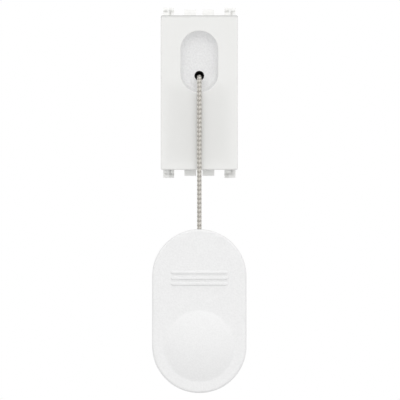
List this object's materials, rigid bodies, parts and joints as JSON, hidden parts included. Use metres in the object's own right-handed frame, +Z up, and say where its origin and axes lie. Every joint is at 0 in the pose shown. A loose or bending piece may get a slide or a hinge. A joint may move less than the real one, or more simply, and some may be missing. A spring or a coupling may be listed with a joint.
{
  "type": "pull cord switch",
  "caption": "One-module wall switch with a recessed cord exit, clip-in frame and a hanging braided cord with a domed pull tab.",
  "frame": {"origin": "middle of the face in width and height, on the plane where the module rests on its mounting frame", "axes": "+Z up along the module's height, +X to the right seen from the room, +Y into the wall"},
  "size_m": [0.0274, 0.0412, 0.1122],
  "materials": {
    "gloss_white": "polished moulded plastic, spark-eroded texture in the recess",
    "matt_white": "fine grained moulded plastic",
    "black_plastic": "smooth low-friction plastic",
    "grey_housing": "fine matt thermoplastic",
    "natural_acetal": "smooth low-friction plastic",
    "zinc_steel": "zinc plated",
    "spring_steel": "drawn wire",
    "brass": "rolled strip",
    "silver_contact": "smooth silver alloy",
    "braided_cord": "tight round braid"
  },
  "bodies": {
    "casing": {"front_cover": "gloss_white", "clip_frame": "gloss_white", "cord_bush": "black_plastic", "rear_housing": "grey_housing", "terminal_base": "grey_housing", "lever_pin": "zinc_steel", "upper_terminal_bar": "brass", "lower_terminal_bar": "brass", "fixed_contacts": "silver_contact", "clamp_saddles": "zinc_steel", "terminal_screws": "zinc_steel", "return_spring": "spring_steel", "inner_cord": "braided_cord"},
    "hanging_cord": {"pull_cord": "braided_cord"},
    "cord_end": {"tab_cord_knot": "braided_cord"},
    "pull_tab": {"tab_front_shell": "matt_white", "tab_rear_shell": "matt_white"},
    "inner_cord_end": {"inner_knot": "braided_cord"},
    "lever_body": {"lever": "natural_acetal"},
    "plunger_body": {"plunger": "natural_acetal", "contact_spring": "spring_steel"},
    "bridge_body": {"contact_bridge": "brass", "bridge_contacts": "silver_contact"}
  },
  "joints": [
    {"name": "cord_swing", "type": "hinge", "parent": "casing", "child": "hanging_cord", "pos_m": [0, -0.0042, 0.0046], "axis": [0, 1, 0], "range_deg": [-75, 75]},
    {"name": "cord_pull", "type": "slide", "parent": "hanging_cord", "child": "cord_end", "axis": [0, 0, -1], "range_m": [0, 0.00478], "stiffness_N_per_m": 900, "springref_m": -0.005, "deforming": ["pull_cord"]},
    {"name": "tab_twist", "type": "hinge", "parent": "cord_end", "child": "pull_tab", "pos_m": [0, -0.0094, -0.04415], "axis": [0, 0, 1], "range_deg": [-180, 180]},
    {"name": "knot_slide", "type": "slide", "parent": "casing", "child": "inner_cord_end", "axis": [0, -1, 0], "range_m": [0, 0.00478], "deforming": ["inner_cord"]},
    {"name": "lever_turn", "type": "hinge", "parent": "casing", "child": "lever_body", "pos_m": [0, 0.001, -0.004], "axis": [1, 0, 0], "range_deg": [0, 31.2]},
    {"name": "plunger_slide", "type": "slide", "parent": "casing", "child": "plunger_body", "axis": [0, 1, 0], "range_m": [0, 0.00296], "deforming": ["return_spring"]},
    {"name": "bridge_slide", "type": "slide", "parent": "plunger_body", "child": "bridge_body", "axis": [0, -1, 0], "range_m": [0, 0.00056], "deforming": ["contact_spring"]}
  ],
  "couplings": [
    {"joint": "knot_slide", "follows": "cord_pull", "ratio": 1},
    {"joint": "lever_turn", "follows": "cord_pull", "rad_per_m": 113.92},
    {"joint": "plunger_slide", "follows": "cord_pull", "ratio": 0.61924},
    {"joint": "bridge_slide", "follows": "cord_pull", "ratio": 0.11715}
  ]
}
